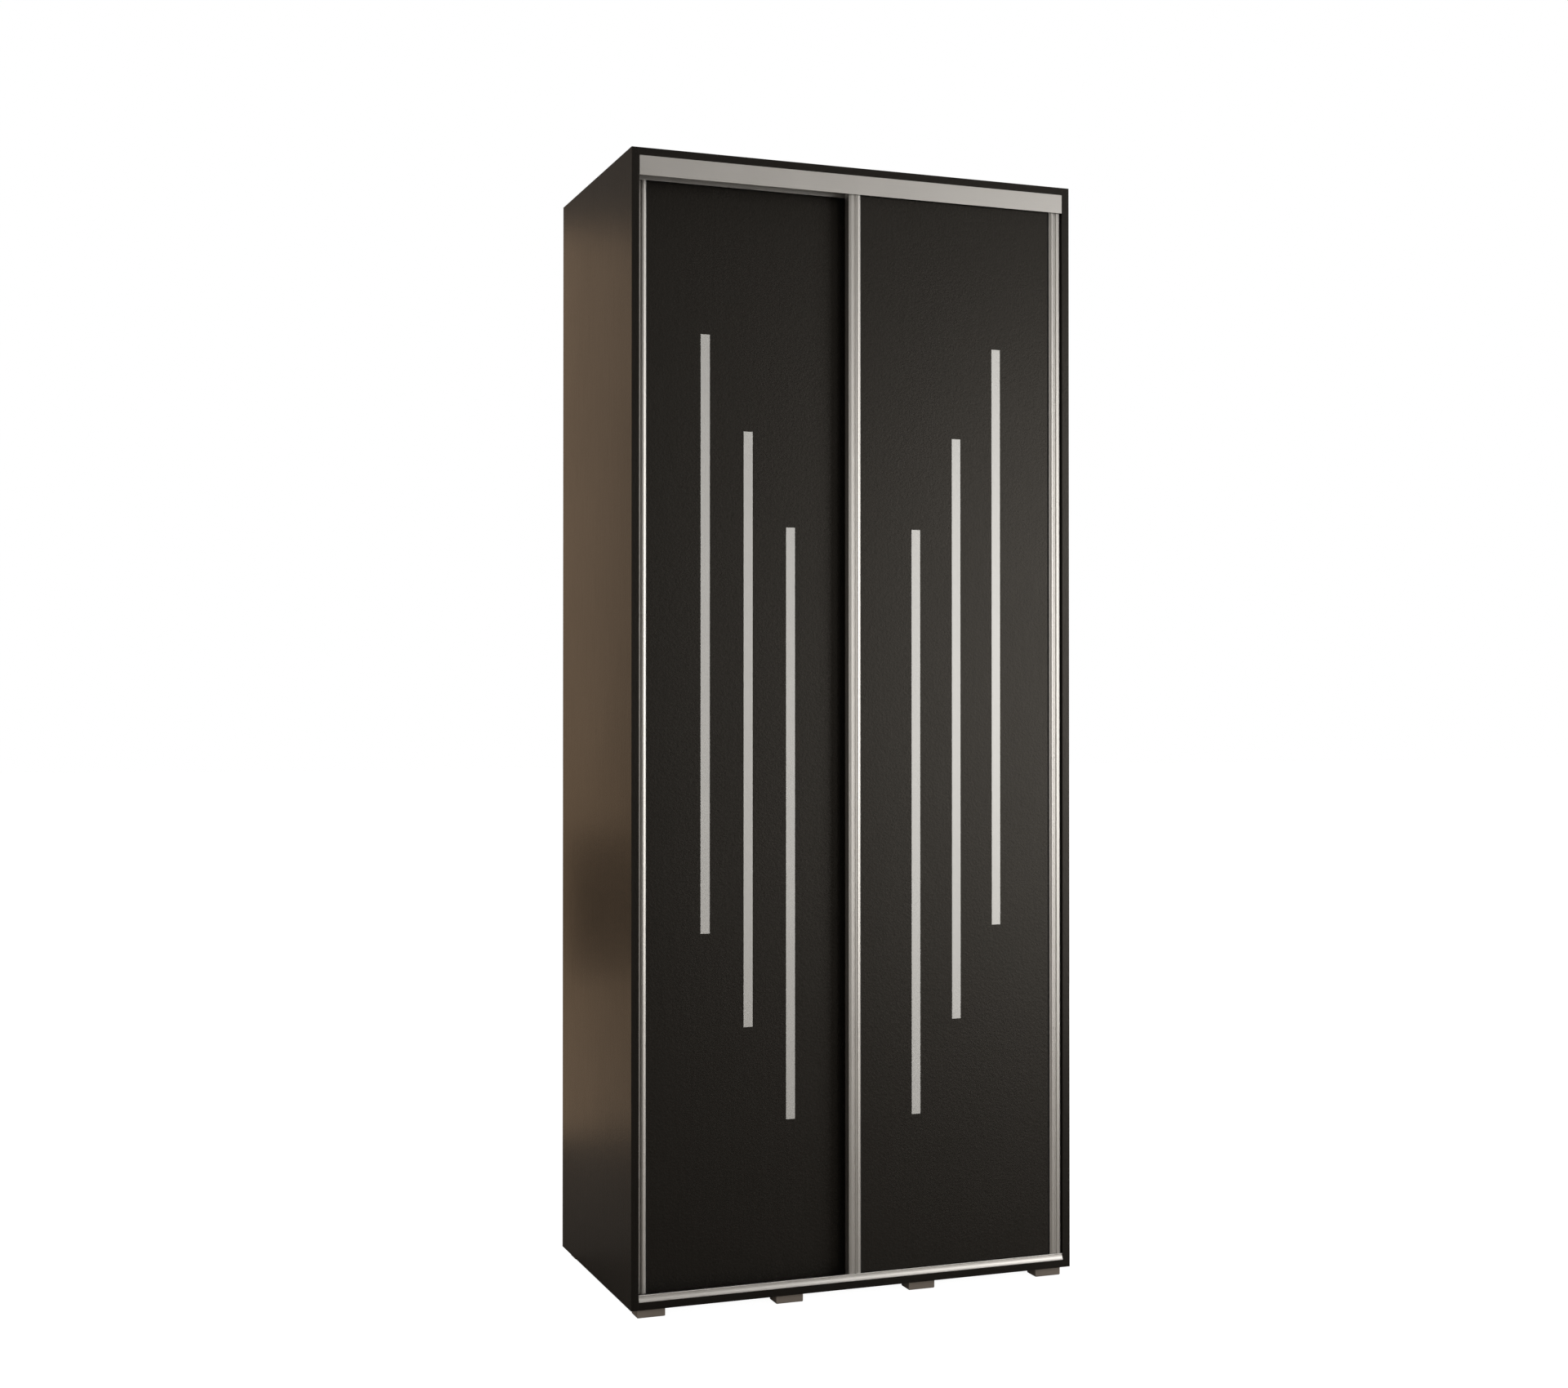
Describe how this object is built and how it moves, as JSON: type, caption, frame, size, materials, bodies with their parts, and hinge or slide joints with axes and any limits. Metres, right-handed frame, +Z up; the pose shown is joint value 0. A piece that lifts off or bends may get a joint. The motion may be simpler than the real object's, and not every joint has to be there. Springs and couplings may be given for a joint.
{
  "type": "sliding door wardrobe",
  "caption": "Tall black laminate wardrobe with overlapping sliding doors on wheels, aluminium handle profiles, light strips, shelves, a hanging rail and low block feet.",
  "frame": {"origin": "middle of the footprint at floor level, under the feet", "axes": "+Z up, doors face -Y, +X to the right of someone facing the doors"},
  "size_m": [1, 0.56, 2.39],
  "materials": {
    "black_board": "black laminate, fine pearl texture",
    "door_board": "black laminate, soft sheen",
    "hardboard": "painted hardboard",
    "foot_plastic": "silver grey, matt",
    "satin_aluminium": "satin anodised",
    "bright_strip": "bright satin",
    "wheel_plastic": "white acetal",
    "black_plastic": "moulded, matt",
    "grey_plastic": "moulded, matt",
    "seal_pile": "woven pile",
    "beech": "fluted, raw",
    "chromed_steel": "polished",
    "zinc_steel": "zinc plated"
  },
  "bodies": {
    "carcass": {"back_left": "hardboard", "back_nails": "zinc_steel", "back_right": "hardboard", "bottom_board": "black_board", "cam_discs": "zinc_steel", "cam_studs": "zinc_steel", "dowels": "beech", "feet_rear": "foot_plastic", "foot_front_1": "foot_plastic", "foot_front_2": "foot_plastic", "foot_front_3": "foot_plastic", "foot_front_4": "foot_plastic", "foot_screws": "zinc_steel", "hanging_rail": "chromed_steel", "hat_shelf": "black_board", "lower_track": "satin_aluminium", "partition": "black_board", "rail_socket_screws": "zinc_steel", "rail_sockets": "chromed_steel", "shelf_left_1": "black_board", "shelf_left_2": "black_board", "shelf_left_3": "black_board", "shelf_left_4": "black_board", "shelf_left_5": "black_board", "shelf_pins": "zinc_steel", "side_left": "black_board", "side_right": "black_board", "top_board": "black_board", "track_screws": "zinc_steel", "track_stops": "grey_plastic", "upper_track": "satin_aluminium"},
    "left_door": {"left_door_axles": "zinc_steel", "left_door_inner_stile": "satin_aluminium", "left_door_outer_stile": "satin_aluminium", "left_door_panel": "door_board", "left_door_roller_housing_1": "black_plastic", "left_door_roller_housing_2": "black_plastic", "left_door_screws": "zinc_steel", "left_door_side_seal": "seal_pile", "left_door_strip_1": "bright_strip", "left_door_strip_2": "bright_strip", "left_door_strip_3": "bright_strip", "left_door_top_guides": "black_plastic"},
    "right_door": {"right_door_axles": "zinc_steel", "right_door_inner_stile": "satin_aluminium", "right_door_outer_stile": "satin_aluminium", "right_door_panel": "door_board", "right_door_roller_housing_1": "black_plastic", "right_door_roller_housing_2": "black_plastic", "right_door_screws": "zinc_steel", "right_door_side_seal": "seal_pile", "right_door_strip_1": "bright_strip", "right_door_strip_2": "bright_strip", "right_door_strip_3": "bright_strip", "right_door_top_guides": "black_plastic", "dust_seal": "seal_pile"},
    "left_door_wheel_1": {"left_door_wheel_1": "wheel_plastic"},
    "left_door_wheel_2": {"left_door_wheel_2": "wheel_plastic"},
    "right_door_wheel_1": {"right_door_wheel_1": "wheel_plastic"},
    "right_door_wheel_2": {"right_door_wheel_2": "wheel_plastic"}
  },
  "joints": [
    {"name": "left_door_slide", "type": "slide", "parent": "carcass", "child": "left_door", "axis": [1, 0, 0], "range_m": [0, 0.462]},
    {"name": "right_door_slide", "type": "slide", "parent": "carcass", "child": "right_door", "axis": [1, 0, 0], "range_m": [-0.462, 0]},
    {"name": "left_door_wheel_1_spin", "type": "hinge", "parent": "left_door", "child": "left_door_wheel_1", "pos_m": [-0.407, -0.207, 0.0497], "axis": [0, 1, 0], "range_deg": [-20, 2226]},
    {"name": "left_door_wheel_2_spin", "type": "hinge", "parent": "left_door", "child": "left_door_wheel_2", "pos_m": [-0.055, -0.207, 0.0497], "axis": [0, 1, 0], "range_deg": [-20, 2226]},
    {"name": "right_door_wheel_1_spin", "type": "hinge", "parent": "right_door", "child": "right_door_wheel_1", "pos_m": [0.055, -0.247, 0.0497], "axis": [0, 1, 0], "range_deg": [-2226, 20]},
    {"name": "right_door_wheel_2_spin", "type": "hinge", "parent": "right_door", "child": "right_door_wheel_2", "pos_m": [0.407, -0.247, 0.0497], "axis": [0, 1, 0], "range_deg": [-2226, 20]}
  ],
  "couplings": [
    {"joint": "left_door_wheel_1_spin", "follows": "left_door_slide", "rad_per_m": 83.333},
    {"joint": "left_door_wheel_2_spin", "follows": "left_door_slide", "rad_per_m": 83.333},
    {"joint": "right_door_wheel_1_spin", "follows": "right_door_slide", "rad_per_m": 83.333},
    {"joint": "right_door_wheel_2_spin", "follows": "right_door_slide", "rad_per_m": 83.333}
  ]
}
